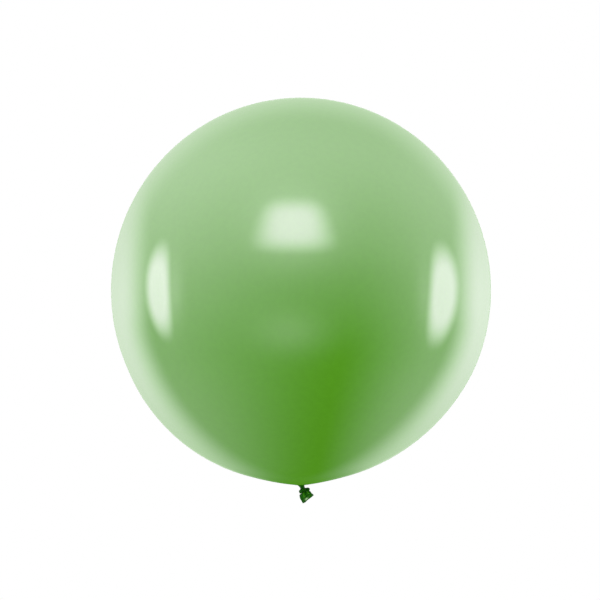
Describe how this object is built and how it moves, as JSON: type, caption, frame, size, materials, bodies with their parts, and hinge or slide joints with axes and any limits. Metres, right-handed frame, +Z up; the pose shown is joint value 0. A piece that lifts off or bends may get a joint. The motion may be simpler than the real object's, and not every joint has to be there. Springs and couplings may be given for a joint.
{
  "type": "latex balloon",
  "caption": "Jumbo round latex balloon, blown up and closed by an overhand knot in its own neck, with a slack flattened tail and rolled mouth below the knot.",
  "frame": {"origin": "on the balloon's axis, in the middle of the gathered neck, at the height where a ribbon is tied round it", "axes": "+Z up the balloon's axis to the crown, -Y to the front, +X to the side that the knot and tail hang to"},
  "size_m": [0.9996, 0.9996, 1.0687],
  "materials": {
    "film": "gloss",
    "slack_film": "satin"
  },
  "bodies": {
    "balloon": {"envelope": "film"},
    "neck": {"neck": "slack_film"},
    "knot": {"knot_core": "slack_film", "knot_loop": "slack_film"},
    "tail": {"tail": "slack_film", "mouth_bead": "slack_film"}
  },
  "joints": [
    {"name": "neck_sway", "type": "hinge", "parent": "balloon", "child": "neck", "pos_m": [0, 0, 0.0038], "axis": [0, 1, 0], "range_deg": [-18, 55], "stiffness_Nm_per_rad": 0.05},
    {"name": "knot_nod", "type": "hinge", "parent": "neck", "child": "knot", "pos_m": [0.004, 0, -0.0063], "axis": [1, 0, 0], "range_deg": [-30, 30], "stiffness_Nm_per_rad": 0.03},
    {"name": "tail_bend", "type": "hinge", "parent": "knot", "child": "tail", "pos_m": [0.012, 0, -0.0215], "axis": [-0.8044, 0.1811, -0.5658], "range_deg": [-35, 35], "stiffness_Nm_per_rad": 0.01}
  ]
}
